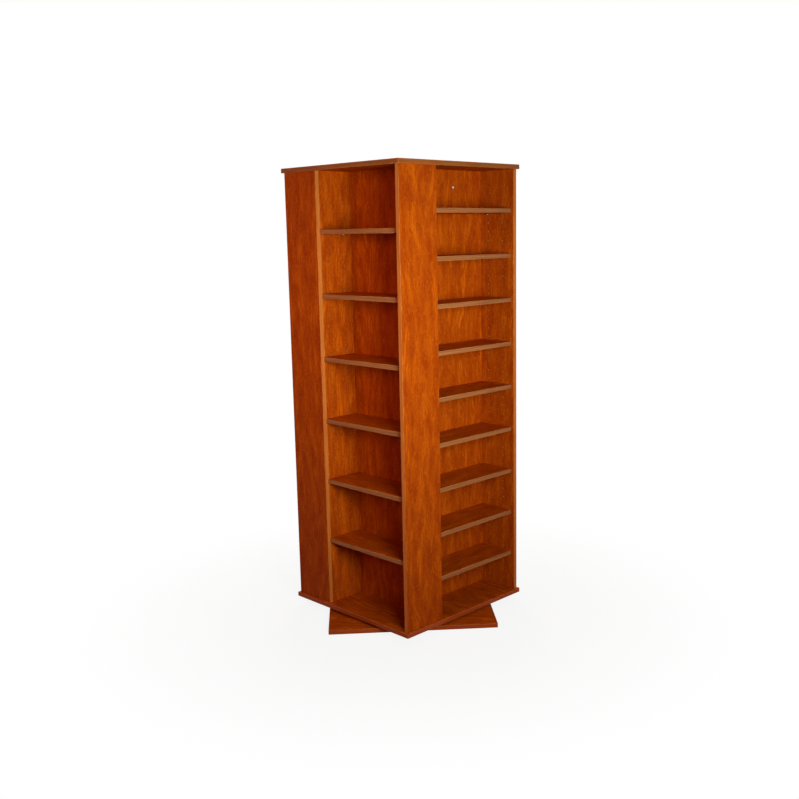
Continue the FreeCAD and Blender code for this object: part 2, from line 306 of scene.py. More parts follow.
# %% Blend two colours
def blend(tree, amount, first, second, low=0.0, high=1.0):
    """The first colour turning into the second as amount goes from low to high."""
    share = add(tree, "ShaderNodeMapRange", {}, {"Value": amount, "From Min": low, "From Max": high})
    return add(tree, "ShaderNodeMix", {"data_type": "RGBA"}, {"Factor": share, "A": first, "B": second})


# %% Lay colour and relief on a material
def lay_on(tree, shader, colour, height=None, strength=0.0, depth=0.0):
    """Gives the shader its colour and, where there is a height, a relief of that depth in metres."""
    tree.links.new(colour, shader.inputs["Base Color"])
    if height is not None:
        relief_inputs = {"Height": height, "Strength": strength, "Distance": depth}
        relief = add(tree, "ShaderNodeBump", {}, relief_inputs)
        tree.links.new(relief, shader.inputs["Normal"])


# %% Growth rings cut flat
RING_W = 15 * MM
PITH_DEPTH = 26 * MM
PITH_WANDER = Vector((0, 260 * MM, 90 * MM))    # how far the pith strays across and below the face
WANDER_SIZE = (520 * MM, 260 * MM, 260 * MM)
NOISE_MIDDLE = (0.5, 0.5, 0.5)          # the value that the noise's three channels lie round


def growth_rings(tree, place):
    """Shade of the growth rings: noise over the distance from a wandering pith line."""
    strays = streaks(tree, place, WANDER_SIZE, detail=3.0, output="Color")
    centred = add(tree, "ShaderNodeVectorMath", {"operation": "SUBTRACT"}, {0: strays, 1: NOISE_MIDDLE})
    stray = add(tree, "ShaderNodeVectorMath", {"operation": "MULTIPLY"}, {0: centred, 1: PITH_WANDER})
    flat = add(tree, "ShaderNodeVectorMath", {"operation": "MULTIPLY"}, {0: place, 1: (0, 1, 0)})
    below = add(tree, "ShaderNodeVectorMath", {"operation": "ADD"}, {0: flat, 1: (0, 0, PITH_DEPTH)})
    from_pith = add(tree, "ShaderNodeVectorMath", {"operation": "ADD"}, {0: below, 1: stray})
    reach = add(tree, "ShaderNodeVectorMath", {"operation": "LENGTH"}, {0: from_pith}, "Value")
    inputs = {"W": reach, "Scale": 1 / RING_W, "Detail": 3.0, "Roughness": 0.6}
    return add(tree, "ShaderNodeTexNoise", {"noise_dimensions": "1D"}, inputs)


# %% Cherry print
# Sizes of the print's marks: along the grain, across it and through the board.
FIBRE = (34 * MM, 3.2 * MM, 20 * MM)
TONE_PATCH = (95 * MM, 30 * MM, 200 * MM)
RAY_FLECK = (15 * MM, 2.4 * MM, 8 * MM)
PORE = (9 * MM, 0.7 * MM, 5 * MM)


def cherry_print(name, turn=0.0):
    """Melamine paper with a cherry print, pressed on against a fine-grained steel plate."""
    made, tree, shader = finish(name, ior=1.5, roughness=0.45, gloss=0.03)
    place = own_place(tree, turn)
    rings = growth_rings(tree, place)
    fibres = streaks(tree, place, FIBRE, detail=3.0)
    patches = streaks(tree, place, TONE_PATCH, detail=3.0)
    rays = streaks(tree, place, RAY_FLECK)
    pores = streaks(tree, place, PORE)
    wood = blend(tree, rings, linear("#A84204"), linear("#D2630A"), low=0.32, high=0.68)
    patchy = blend(tree, patches, linear("#A03A04"), wood, low=0.34, high=0.62)
    fibrous = blend(tree, fibres, linear("#A03C04"), patchy, low=0.27, high=0.52)
    rayed = blend(tree, rays, fibrous, linear("#D8741E"), low=0.57, high=0.8)
    flecked = blend(tree, pores, linear("#7A2A04"), rayed, low=0.30, high=0.42)
    lay_on(tree, shader, flecked, height=pores, strength=0.12, depth=0.1 * MM)
    return made


CHERRY_PRINT = cherry_print("cherry_print_melamine")

# %% [markdown]
# ## Taped edges
#
# The cut edges of chipboard are crumbly, so the visible ones are covered with a thin plastic tape that
# is ironed on and trimmed flush. The tape is its own print, a little duller and greyer than the faces,
# with its grain running along the strip. The trimmed corner shows as a fine paler line, partly where the
# cutter has scuffed the tape and partly a painted highlight along the edge, and that line is what tells
# the eye that a board is not solid wood. The noise is short through the thickness and long in both other
# directions, so one setting suits all four edges.

# %% Edge tape
TAPE_STREAK = (130 * MM, 130 * MM, 2.2 * MM)
TAPE_GLOSS = 0.12


def edge_tape(name, dark, light):
    """Thin plastic edge tape with a cherry print, ironed on."""
    made, tree, shader = finish(name, ior=1.5, roughness=0.5, gloss=TAPE_GLOSS)
    streak = streaks(tree, own_place(tree), TAPE_STREAK, detail=3.0)
    colour = blend(tree, streak, linear(dark), linear(light), low=0.3, high=0.7)
    lay_on(tree, shader, colour, height=streak, strength=0.1, depth=0.1 * MM)
    return made


# The four tapes differ by where they sit: lighter on the uprights, browner on the shelves, duller on the top
# board and redder on the two boards at the foot.
UPRIGHT_TAPE = edge_tape("light_cherry_edge_tape", "#B66026", "#D87E36")
SHELF_TAPE = edge_tape("brown_cherry_edge_tape", "#8A5430", "#AC6E42")
TOP_TAPE = edge_tape("dull_cherry_edge_tape", "#864519", "#A05E2A")
FOOT_TAPE = edge_tape("red_cherry_edge_tape", "#983D16", "#BA5424")

# %% Trimmed corner of the tape
# Size of the pale patches on the trimmed corner: scuffing and painted highlight together.
SCUFF_AND_HIGHLIGHT = (25 * MM, 25 * MM, 25 * MM)


def trimmed_corner():
    """Tape corner trimmed flush: scuffed by the cutter, rubbed by hands, and painted with a highlight."""
    made, tree, shader = finish("trimmed_tape_corner_scuff_and_highlight", ior=1.5, roughness=0.6, gloss=TAPE_GLOSS)
    scuffs_and_highlight = streaks(tree, own_place(tree), SCUFF_AND_HIGHLIGHT, detail=4.0)
    # Paler where the noise is high: partly the cutter's scuffing, partly a painted highlight along the edge.
    colour = blend(tree, scuffs_and_highlight, linear("#A8561E"), linear("#D48244"), low=0.35, high=0.7)
    lay_on(tree, shader, colour)
    return made


TRIMMED_CORNER = trimmed_corner()

# %% [markdown]
# ## Bare chipboard
#
# Inside the drilled holes, and on the cut ends that other boards hide, the core shows: flat chips of
# softwood glued together. Cell noise gives each chip its own shade, which plain noise would blur.

# %% Bare chipboard
CHIP = 1.6 * MM


def bare_chipboard():
    """Sawn or drilled chipboard: pale chips with dark glue between them."""
    made, tree, shader = finish("bare_sawn_chipboard", ior=1.45, roughness=0.85)
    chips = add(tree, "ShaderNodeTexVoronoi", {}, {"Vector": own_place(tree), "Scale": 1 / CHIP}, "Color")
    shade = add(tree, "ShaderNodeRGBToBW", {}, {"Color": chips})
    colour = blend(tree, shade, linear("#7A5836"), linear("#B4905E"))
    lay_on(tree, shader, colour, height=shade, strength=0.5, depth=0.3 * MM)
    return made


BARE_CHIPBOARD = bare_chipboard()
PRINT, TAPE, CORNER, BARE = range(4)


def board_finishes(tape, face_print=CHERRY_PRINT):
    """A board's finishes, in the order of PRINT, TAPE, CORNER and BARE."""
    return face_print, tape, TRIMMED_CORNER, BARE_CHIPBOARD


# %% [markdown]
# ## Finding the small parts in the construction model
#
# Pins, screws and dowels come in groups, many solids to one node. To put a detailed part on each of
# them, the group is taken apart again: points that are joined by edges belong to one solid. The corner
# points of the file are doubled along sharp edges, so they are welded first.

# %% Take a group apart
WELD = 0.001 * MM


def solids_of(node):
    """Each separate solid of a node, as its points."""
    bm = bmesh.new()
    bm.from_mesh(frame["nodes"][node].data)
    bmesh.ops.remove_doubles(bm, verts=bm.verts, dist=WELD)
    seen = set()
    solids = []
    for first in bm.verts:
        if first in seen:
            continue
        seen.add(first)
        reached = [first]
        for vert in reached:
            near = [edge.other_vert(vert) for edge in vert.link_edges]
            fresh = [other for other in near if other not in seen]
            seen.update(fresh)
            reached.extend(fresh)
        solids.append([vert.co.copy() for vert in reached])
    bm.free()
    return solids


def box_of(points):
    """Lowest and highest corner of some points."""
    low = Vector([min(p[i] for p in points) for i in range(3)])
    high = Vector([max(p[i] for p in points) for i in range(3)])
    return low, high


PIN_GROUPS = {face: solids_of(f"shelf_pins_{face}") for face in FACES}
print("shelf pins:", {face: len(group) for face, group in PIN_GROUPS.items()})

# %% [markdown]
# ## A board
#
# A board is drawn lying flat, as it comes off the saw: X along its grain, Y across and Z through its
# thickness. It is then stood in its place. That way the print always runs along the grain, whichever
# way the board stands. The shape starts as a block, because that is what a saw makes. The taped edges
# then get the small bevel of the trimming cutter, a little rounded by the hand that rubs it down, and
# holes are opened where pins and screw heads go.

# %% Where a board stands
def stand(low, high, grain):
    """The matrix that stands a flat board in its box, and its length, width and thickness."""
    size = high - low
    through = min(range(3), key=lambda i: size[i])
    across = 3 - grain - through
    along, side = AXES[grain], AXES[across]
    turn = Matrix((along, side, along.cross(side))).transposed()
    place = Matrix.Translation((low + high) / 2) @ turn.to_4x4()
    return place, Vector((size[grain], size[across], size[through]))


# %% Saw, tape and trim
TRIM_W = 1.0 * MM                       # width of the cutter's bevel on each of the two sides
TRIM_PROFILE = 0.35                     # 0.25 is a flat bevel and 0.5 a full round
TRIM_STEPS = 3


def sawn_board(size, taped):
    """A flat board centred on the origin. Taped holds the sides with tape, as (x, y) directions."""
    bm = bmesh.new()
    bmesh.ops.create_cube(bm, size=1.0)
    bmesh.ops.scale(bm, vec=size, verts=bm.verts)
    for face in bm.faces:
        x, y, z = (round(n) for n in face.normal)
        face.material_index = PRINT if z else TAPE if (x, y) in taped else BARE
    trimmed = []
    for edge in bm.edges:
        kinds = {face.material_index for face in edge.link_faces}
        if TAPE in kinds and BARE not in kinds:
            trimmed.append(edge)
    bmesh.ops.bevel(
        bm,
        geom=trimmed,
        offset=TRIM_W,
        segments=TRIM_STEPS,
        profile=TRIM_PROFILE,
        affect="EDGES",
        material=CORNER,
    )
    # The bevel leaves gaps in the list of faces, and faces made later would fill them in another order
    # in each run. A copy has no gaps, so the mesh always comes out the same.
    board = bm.copy()
    bm.free()
    return board


# %% Sink pockets into a flat face
def sink(bm, side, pockets, through=False):
    """Opens pockets in the largest face that looks up (1) or down (-1).

    Each pocket is an outline and a depth, and a depth of 0 leaves the opening without walls.
    """
    face = max(bm.faces, key=lambda f: f.normal.z * side * f.calc_area())
    level = face.verts[0].co.z
    loops = [list(face.verts)]
    for outline, _ in pockets:
        loops.append([bm.verts.new((x, y, level)) for x, y in outline])
    verts = [vert for loop in loops for vert in loop]
    for corners in tessellate_polygon([[vert.co for vert in loop] for loop in loops]):
        bm.faces.new([verts[i] for i in corners]).material_index = face.material_index
    bm.faces.remove(face)
    for rim, (outline, depth) in zip(loops[1:], pockets):
        if not depth:
            continue
        floor = [bm.verts.new(vert.co - Vector((0, 0, side * depth))) for vert in rim]
        for i in range(len(rim)):
            bm.faces.new((rim[i - 1], rim[i], floor[i], floor[i - 1])).material_index = BARE
        if not through:
            bm.faces.new(floor).material_index = BARE


# %% Round outline of a hole
HOLE_SIDES = 24


def circle(x, y, radius, sides=HOLE_SIDES):
    """Points round a circle."""
    angles = [2 * math.pi * i / sides for i in range(sides)]
    return [(x + radius * math.cos(a), y + radius * math.sin(a)) for a in angles]


# %% Hand a finished piece to the frame
SMOOTH_BELOW = math.radians(35)         # faces that meet at less than this are shaded as one


def hand_over(name, bm, finishes, body, nodes, place=Matrix.Identity(4), round_all=False):
    """Makes the piece an object, in its place, riding on its body in place of its construction nodes."""
    bmesh.ops.recalc_face_normals(bm, faces=bm.faces)
    for face in bm.faces:
        face.smooth = round_all or face.material_index == CORNER
    mesh = bpy.data.meshes.new(name)
    bm.to_mesh(mesh)
    bm.free()
    if round_all:
        mesh.set_sharp_from_angle(angle=SMOOTH_BELOW)
    for material in finishes:
        mesh.materials.append(material)
    made = bpy.data.objects.new(name, mesh)
    bpy.context.scene.collection.objects.link(made)
    made.matrix_world = place
    made.pass_index = len(bpy.data.objects)
    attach(made, body)
    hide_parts(*nodes)


# %% [markdown]
# ## Corner panels and dividers
#
# The eight upright boards carry everything. On the side that faces a bay, each has two columns of
# 5 mm holes at the furniture trade's usual pitch of 32 mm, and the shelf pins sit in some of them. The
# columns are found from the pins: where a pin goes into this board, a column runs up and down from it.
# The shelves can then be moved, as on the real thing. A bay's back wall also shows the flat heads of
# the screws that hold the next divider, so shallow seats are sunk for those.

# %% Holes that the fixings need in one board
PIN_D = 5 * MM
PIN_HOLE_DEPTH = 10 * MM
HOLE_PITCH = 32 * MM
END_MARGIN = 30 * MM                    # no pin hole nearer to the end of a board than this
HEAD_D = 10 * MM
HEAD_H = 3 * MM
TOUCH = 0.1 * MM                        # levels nearer to each other than this are the same
PLACE_DIGITS = 5                        # holes at the same hundredth of a millimetre are one hole


def solids_through(size, to_board, solids):
    """Boxes, in the board's axes, of the fixings that stand square to its faces and inside its outline."""
    found = []
    for points in solids:
        low, high = box_of([to_board @ p for p in points])
        middle, span = (low + high) / 2, high - low
        inside = abs(middle.x) < size.x / 2 and abs(middle.y) < size.y / 2
        if inside and span.z > max(span.x, span.y) and high.z > -size.z / 2 and low.z < size.z / 2:
            found.append((low, high, middle))
    return found


def pin_columns(size, to_board, side):
    """Pin holes in one face: a column at the standard pitch through every pin that stands out of it."""
    places = set()
    for low, high, middle in solids_through(size, to_board, ALL_PINS):
        if max(high.z * side, low.z * side) > size.z / 2 + TOUCH:
            first = math.ceil((END_MARGIN - size.x / 2 - middle.x) / HOLE_PITCH)
            last = math.floor((size.x / 2 - END_MARGIN - middle.x) / HOLE_PITCH)
            for step in range(first, last + 1):
                x = middle.x + step * HOLE_PITCH
                places.add((round(x, PLACE_DIGITS), round(middle.y, PLACE_DIGITS)))
    return [(circle(x, y, PIN_D / 2), PIN_HOLE_DEPTH) for x, y in sorted(places)]


def head_seats(size, to_board, side, screws):
    """Shallow round seats for the screw heads that end level with one face."""
    seats = []
    for low, high, middle in solids_through(size, to_board, screws):
        end = high.z if side > 0 else -low.z
        if abs(end - size.z / 2) < TOUCH:
            seats.append((circle(middle.x, middle.y, HEAD_D / 2), HEAD_H))
    return seats


ALL_PINS = [points for group in PIN_GROUPS.values() for points in group]
DIVIDER_SCREWS = solids_of("divider_screws")
print(len(ALL_PINS), "pins and", len(DIVIDER_SCREWS), "screws through the dividers")

# %% Make the uprights
ALONG_X, ALONG_Y, UP = range(3)         # the three ways that a board's grain can run
LONG_EDGES = ((0, 1), (0, -1))


def upright(node):
    """One upright board, taped along its long edges, with its pin columns and screw seats."""
    place, size = stand(*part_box(node), UP)
    bm = sawn_board(size, LONG_EDGES)
    to_board = place.inverted()
    for side in (1, -1):
        pockets = pin_columns(size, to_board, side) + head_seats(size, to_board, side, DIVIDER_SCREWS)
        if pockets:
            sink(bm, side, pockets)
    hand_over(f"dressed_{node}", bm, board_finishes(UPRIGHT_TAPE), "tower", [node], place)
    return size


for kind in ("corner_panel", "divider"):
    sizes = [upright(f"{kind}_{face}") for face in FACES]
    print(kind, [round(v / MM, 1) for v in sizes[0]], "mm, four of them")

# %% [markdown]
# ## Shelves
#
# Each shelf is a loose board with tape on its front edge only. Its grain runs along its length, across
# the bay. The front is the side that looks away from the turning axis.

# %% Make the shelves
def shelf(node):
    """One shelf, taped along the edge that looks out of its bay."""
    low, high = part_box(node)
    grain = ALONG_X if high.x - low.x > high.y - low.y else ALONG_Y
    place, size = stand(low, high, grain)
    across = (place.to_3x3().transposed() @ ((low + high) / 2)).y
    front = (0, 1) if across > 0 else (0, -1)
    bm = sawn_board(size, (front,))
    hand_over(f"dressed_{node}", bm, board_finishes(SHELF_TAPE), "tower", [node], place)


shelf_nodes = sorted(n for n in frame["nodes"] if n.startswith("shelf_") and "pins" not in n)
for node in shelf_nodes:
    shelf(node)
print(len(shelf_nodes), "shelves")

# %% [markdown]
# ## Top, bottom and base
#
# Three square boards close the stack, and all four edges of each are taped. The bottom board has seats
# underneath for the screws that go up into the uprights. The base board lies at an angle to the tower,
# as the tower has been turned on it, so its own size is found by turning its points back. It has one
# through hole, which lets a screwdriver reach the screws of the bearing's upper plate as it comes round.
# The board is turned as a shape, not as an object, and its print is turned in the material to match.
# An object's size is measured by the corners of its own box. A turned object's would lie just outside
# the board's trimmed corners, so it would measure too large.

# %% Make the top and bottom boards
ALL_EDGES = ((1, 0), (-1, 0), (0, 1), (0, -1))
BOTTOM_SCREWS = solids_of("bottom_screws")

for node, tape, fixings in (("top_board", TOP_TAPE, []), ("bottom_board", FOOT_TAPE, BOTTOM_SCREWS)):
    place, size = stand(*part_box(node), ALONG_X)
    bm = sawn_board(size, ALL_EDGES)
    seats = head_seats(size, place.inverted(), -1, fixings)
    if seats:
        sink(bm, -1, seats)
    hand_over(f"dressed_{node}", bm, board_finishes(tape), "tower", [node], place)
    print(node, [round(v / MM, 1) for v in size], "mm with", len(seats), "screw seats")

# %% Make the base board
BASE_TURN = math.radians(48.6)
HOLE_REACH = (0.12, 0.17)               # the access hole's rim lies between these distances
HOLE_HALF_W = 0.02
ACCESS_SIDES = 48

turned_back = Matrix.Rotation(-BASE_TURN, 4, "Z")
base_points = [turned_back @ vert.co for vert in frame["nodes"]["base_board"].data.vertices]
rim = [p for p in base_points if HOLE_REACH[0] < p.x < HOLE_REACH[1] and abs(p.y) < HOLE_HALF_W]
rim_low, rim_high = box_of(rim)
hole_middle, hole_d = (rim_low + rim_high) / 2, rim_high.x - rim_low.x

place, size = stand(*box_of(base_points), ALONG_X)
access_hole = circle(hole_middle.x, hole_middle.y, hole_d / 2, ACCESS_SIDES)
bm = sawn_board(size, ALL_EDGES)
sink(bm, 1, [(access_hole, size.z)], through=True)
sink(bm, -1, [(access_hole, 0)])
bmesh.ops.remove_doubles(bm, verts=bm.verts, dist=WELD)
bmesh.ops.rotate(bm, matrix=Matrix.Rotation(BASE_TURN, 3, "Z"), verts=bm.verts)
finishes = board_finishes(FOOT_TAPE, cherry_print("turned_cherry_print_melamine", BASE_TURN))
hand_over("dressed_base_board", bm, finishes, "base", ["base_board"], place)
print("base board", [round(v / MM, 1) for v in size], "mm, access hole", round(hole_d / MM, 1), "mm")

# %% [markdown]
# ## Round parts
#
# Pins, screws, dowels and glides are all turned or rolled, so one function makes them: it takes heights
# and radii from one end to the other and closes both ends. A second rule can swell the surface by its
# height and angle, which is how a screw gets its thread and a dowel its flutes.

# %% Turn a part on the lathe
def turned_part(profile, sides, swell=None):
    """A closed round solid about Z. Profile holds (height, radius) pairs from the lower end to the upper."""
    bm = bmesh.new()
    rings = []
    for height, radius in profile:
        ring = []
        for i in range(sides):
            angle = 2 * math.pi * i / sides
            reach = radius + (swell(height, angle) if swell else 0)
            ring.append(bm.verts.new((reach * math.cos(angle), reach * math.sin(angle), height)))
        rings.append(ring)
    for lower, upper in zip(rings, rings[1:]):
        for i in range(sides):
            bm.faces.new((lower[i - 1], lower[i], upper[i], upper[i - 1]))
    bm.faces.new(rings[0][::-1])
    bm.faces.new(rings[-1])
    return bm


# %% Repeat a part at many places
def repeated(part, places):
    """One mesh with a copy of the part at every place."""
    single = bpy.data.meshes.new("single")
    part.to_mesh(single)
    part.free()
    bm = bmesh.new()
    for place in places:
        already = len(bm.verts)
        bm.from_mesh(single)
        bm.verts.ensure_lookup_table()
        bmesh.ops.transform(bm, matrix=place, verts=bm.verts[already:])
    bpy.data.meshes.remove(single)
    return bm


# %% Lay a part along a solid of the construction model
def along(points, towards=None):
    """The place of a part whose Z axis runs along a long solid, from its middle. Also the length."""
    low, high = box_of(points)
    span, middle = high - low, (low + high) / 2
    longest = max(range(3), key=lambda i: span[i])
    axis = AXES[longest].copy()
    if towards is not None and axis.dot(towards - middle) < 0:
        axis.negate()
    return Matrix.Translation(middle) @ axis.to_track_quat("Z", "Y").to_matrix().to_4x4(), span[longest]


def head_end(points):
    """The middle of the thicker end of a screw."""
    low, high = box_of(points)
    longest = max(range(3), key=lambda i: (high - low)[i])
    reach = {}
    for level in (low[longest], high[longest]):
        end = [p for p in points if abs(p[longest] - level) < TOUCH]
        end_low, end_high = box_of(end)
        reach[level] = ((end_high - end_low).length, (end_low + end_high) / 2)
    return max(reach.values(), key=lambda pair: pair[0])[1]


# %% [markdown]
# ## Shelf pins
#
# A shelf lies on four plain steel pins, nickel-plated so that they don't rust or mark the board. Each
# has a small turned groove just outside the board, and a rounded nose. Nickel is a warm, slightly
# yellow grey, and the plating follows the turning marks of the pin, which blur its reflections into
# short arcs.

# %% Nickel plating
TURNING_MARK = (2 * MM, 2 * MM, 0.25 * MM)


def nickel_plate():
    """Bright nickel plating over turned steel: warm grey, with faint rings from the lathe."""
    made, tree, shader = finish("nickel_plated_turned_steel", METAL_IOR, roughness=0.25, metallic=1.0)
    marks = streaks(tree, own_place(tree), TURNING_MARK)
    colour = blend(tree, marks, linear("#BDB5A6"), linear("#D2CBBD"))
    lay_on(tree, shader, colour, height=marks, strength=0.2, depth=0.02 * MM)
    return made


NICKEL = nickel_plate()

# %% Make the pins
PIN_IN = 9 * MM                         # part of the pin inside the board
NOSE = 0.8 * MM
NOSE_STEPS = 6
GROOVE = (1.2 * MM, 0.8 * MM, 0.3 * MM)     # distance from the board, width and depth
GROOVE_SLOPE = 0.2 * MM
PIN_CHAMFER = 0.5 * MM


def pin_part(length):
    """One pin about Z, its middle at the origin and its nose upwards."""
    radius, half = PIN_D / 2, length / 2
    turns = [math.pi / 2 * i / NOSE_STEPS for i in range(NOSE_STEPS + 1)]
    nose = [(half - NOSE + NOSE * math.sin(a), radius - NOSE + NOSE * math.cos(a)) for a in turns]
    start = PIN_IN - half + GROOVE[0]
    end = start + GROOVE[1]
    floor_r = radius - GROOVE[2]
    groove = [(start, radius), (start + GROOVE_SLOPE, floor_r), (end - GROOVE_SLOPE, floor_r), (end, radius)]
    profile = [(-half, radius - PIN_CHAMFER), (PIN_CHAMFER - half, radius), *groove, *nose]
    return turned_part(profile, HOLE_SIDES)


for face, group in PIN_GROUPS.items():
    bay_middle = sum((sum(points, Vector()) / len(points) for points in group), Vector()) / len(group)
    laid = [along(points, towards=bay_middle) for points in group]
    pins = repeated(pin_part(laid[0][1]), [place for place, _ in laid])
    node = f"shelf_pins_{face}"
    hand_over(f"nickel_{node}", pins, [NICKEL], "tower", [node], round_all=True)
    print(len(group), "pins for the", face, "bay, each", round(laid[0][1] / MM, 1), "mm long")

# %% [markdown]
# ## Dowels
#
# Beech dowels locate the boards before the screws pull them together. They are fluted so that glue can
# run past them into the bottom of the hole, and both ends are chamfered so that they start easily.

# %% Beech
BEECH_FLECK = (0.5 * MM, 0.5 * MM, 3 * MM)


def beech():
    """Bare beech, turned and fluted: pale pink-brown with short darker flecks along the grain."""
    made, tree, shader = finish("bare_turned_beech", ior=1.5, roughness=0.7)
    flecks = streaks(tree, own_place(tree), BEECH_FLECK)
    colour = blend(tree, flecks, linear("#B98A5E"), linear("#D9B48A"), low=0.35, high=0.6)
    lay_on(tree, shader, colour)
    return made


BEECH = beech()

# %% Make the dowels
DOWEL_D = 8 * MM
FLUTES = 12
FLUTE_STEPS = 4                         # points to each flute, round the dowel
FLUTE_DEPTH = 0.35 * MM
DOWEL_CHAMFER = 1.2 * MM


def flute(height, angle):
    """How far a dowel's surface lies below its ribs at an angle."""
    return -FLUTE_DEPTH * (0.5 - 0.5 * math.cos(FLUTES * angle))


for node in ("panel_dowels", "top_dowels"):
    laid = [along(points) for points in solids_of(node)]
    half = laid[0][1] / 2
    ends = [(half - DOWEL_CHAMFER, DOWEL_D / 2), (half, DOWEL_D / 2 - DOWEL_CHAMFER)]
    profile = [(-height, radius) for height, radius in reversed(ends)] + ends
    dowels = repeated(turned_part(profile, FLUTE_STEPS * FLUTES, flute), [place for place, _ in laid])
    hand_over(f"fluted_{node}", dowels, [BEECH], "tower", [node], round_all=True)
    print(len(laid), "dowels", round(2 * half / MM, 1), "mm long for", node)

# %% [markdown]
# ## Screws
#
# Long chipboard screws hold the uprights, and short ones hold the bearing plates. All are zinc-plated,
# with a flat head, a cross recess and a coarse sharp thread that cuts its own way into the chips. The
# thread is a real helix: the radius rises and falls once for every turn of the pitch.

# %% Zinc plating
ZINC_BLOTCH = (1.5 * MM, 1.5 * MM, 1.5 * MM)


def zinc_plate():
    """Bright zinc plating: a cool grey with cloudy patches left by the plating bath."""
    made, tree, shader = finish("bright_zinc_plated_steel", METAL_IOR, roughness=0.32, metallic=1.0)
    clouds = streaks(tree, own_place(tree), ZINC_BLOTCH)
    colour = blend(tree, clouds, linear("#AEB4BA"), linear("#CFD3D6"))
    lay_on(tree, shader, colour)
    return made


ZINC = zinc_plate()

# %% Cross recess
RECESS_ARM = (0.62, 0.13)               # reach and half width of the cross, as shares of the head's radius
RECESS_DEPTH = 0.6                      # share of the head's height


def cross(radius):
    """Outline of a cross recess."""
    reach, half = (share * radius for share in RECESS_ARM)
    arm = [(half, half), (reach, half), (reach, -half)]
    outline = []
    for quarter in range(4):
        cos, sin = round(math.cos(math.pi / 2 * quarter)), round(math.sin(math.pi / 2 * quarter))
        outline += [(x * cos + y * sin, y * cos - x * sin) for x, y in arm]
    return outline


# %% One screw
SCREW_SIDES = 20
THREAD_ROWS = 5                         # rings of points to each turn of the thread
THREAD_DEPTH = 0.16                     # share of the shank's diameter
TIP_R = 0.1                             # share of the shank's diameter
NECK = 0.5 * MM                         # plain stretch between the head and the thread
HEAD_BEVEL = 0.4 * MM
HEAD_BELOW = 0.05 * MM                  # the head's face ends this far short of the head's place


def screw_part(length, shank_d, head_d, head_h, pitch):
    """A screw about Z, its head's top at the origin and its tip below."""
    thread = THREAD_DEPTH * shank_d
    top, tip = -head_h - NECK, -length + shank_d

    def helix(height, angle):
        if not tip < height < top:
            return 0.0
        turn = (height / pitch - angle / (2 * math.pi)) % 1
        return thread * (1 - 2 * abs(turn - 0.5)) - thread

    rows = int((top - tip) / pitch * THREAD_ROWS)
    shank = [(tip + (top - tip) * i / rows, shank_d / 2) for i in range(rows + 1)]
    profile = [(-length, TIP_R * shank_d), (tip, shank_d / 2 - thread), *shank[1:-1]]
    profile += [(top, shank_d / 2 - thread), (-head_h, shank_d / 2), (-head_h, head_d / 2)]
    profile += [(-HEAD_BEVEL, head_d / 2), (-HEAD_BELOW, head_d / 2 - HEAD_BEVEL)]
    bm = turned_part(profile, SCREW_SIDES, helix)
    bm.normal_update()
    sink(bm, 1, [(cross(head_d / 2), RECESS_DEPTH * head_h)])
    for face in bm.faces:
        face.material_index = 0
    return bm


# %% Make the screws
LONG_SCREW = {"shank_d": 5 * MM, "head_d": HEAD_D, "head_h": HEAD_H, "pitch": 2.2 * MM}
SHORT_SCREW = {"shank_d": 4 * MM, "head_d": 8 * MM, "head_h": 2.2 * MM, "pitch": 1.8 * MM}


def drive_screws(node, body, kind):
    """All screws of one node, each with its head where the construction model has it."""
    solids = solids_of(node)
    heads = [head_end(points) for points in solids]
    laid = [along(points, towards=head) for points, head in zip(solids, heads)]
    length = laid[0][1]
    turns = [place.to_3x3().to_4x4() for place, _ in laid]
    places = [Matrix.Translation(head) @ turn for head, turn in zip(heads, turns)]
    group = repeated(screw_part(length, **kind), places)
    hand_over(f"zinc_{node}", group, [ZINC], body, [node], round_all=True)
    print(len(places), "screws", round(length / MM, 1), "mm long for", node)


drive_screws("divider_screws", "tower", LONG_SCREW)
drive_screws("bottom_screws", "tower", LONG_SCREW)
drive_screws("tower_plate_screws", "tower", SHORT_SCREW)
drive_screws("base_plate_screws", "base", SHORT_SCREW)

# %% [markdown]
# ## Bearing
#
# The two bearing plates are pressed from sheet, and the construction model already has their races,
# wall and rolled lip, so they keep their shape and only get their finish: zinc-plated sheet, with the
# faint lengthwise lines that rolling leaves. The balls are made perfectly round here, and the cage
# between them gets round pockets.

# %% Rolled sheet
ROLLING_LINE = (60 * MM, 0.4 * MM, 60 * MM)


def rolled_sheet():
    """Zinc-plated steel sheet: dull silver, drawn into fine lines by the mill's rollers."""
    made, tree, shader = finish("zinc_plated_rolled_sheet", METAL_IOR, roughness=0.38, metallic=1.0)
    lines = streaks(tree, own_place(tree), ROLLING_LINE)
    colour = blend(tree, lines, linear("#A7ABAE"), linear("#C4C7C9"))
    lay_on(tree, shader, colour, height=lines, strength=0.15, depth=0.02 * MM)
    return made


SHEET = rolled_sheet()
for node in ("bearing_lower_plate", "bearing_upper_plate"):
    for slot in frame["nodes"][node].material_slots:
        slot.material = SHEET
    low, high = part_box(node)
    print(node, round((high.z - low.z) / MM, 2), "mm deep")

# %% Ball steel
OIL_HAZE = (2 * MM, 2 * MM, 2 * MM)


def ball_steel():
    """Hardened and lapped steel: nearly a mirror, with only a trace of oil haze."""
    made, tree, shader = finish("lapped_ball_steel", METAL_IOR, roughness=0.08, metallic=1.0)
    haze = streaks(tree, own_place(tree), OIL_HAZE)
    colour = blend(tree, haze, linear("#C3C4C6"), linear("#DADBDC"))
    lay_on(tree, shader, colour)
    return made


BALL_STEEL = ball_steel()

# %% Nylon
MOULD_MOTTLE = (0.8 * MM, 0.8 * MM, 0.8 * MM)


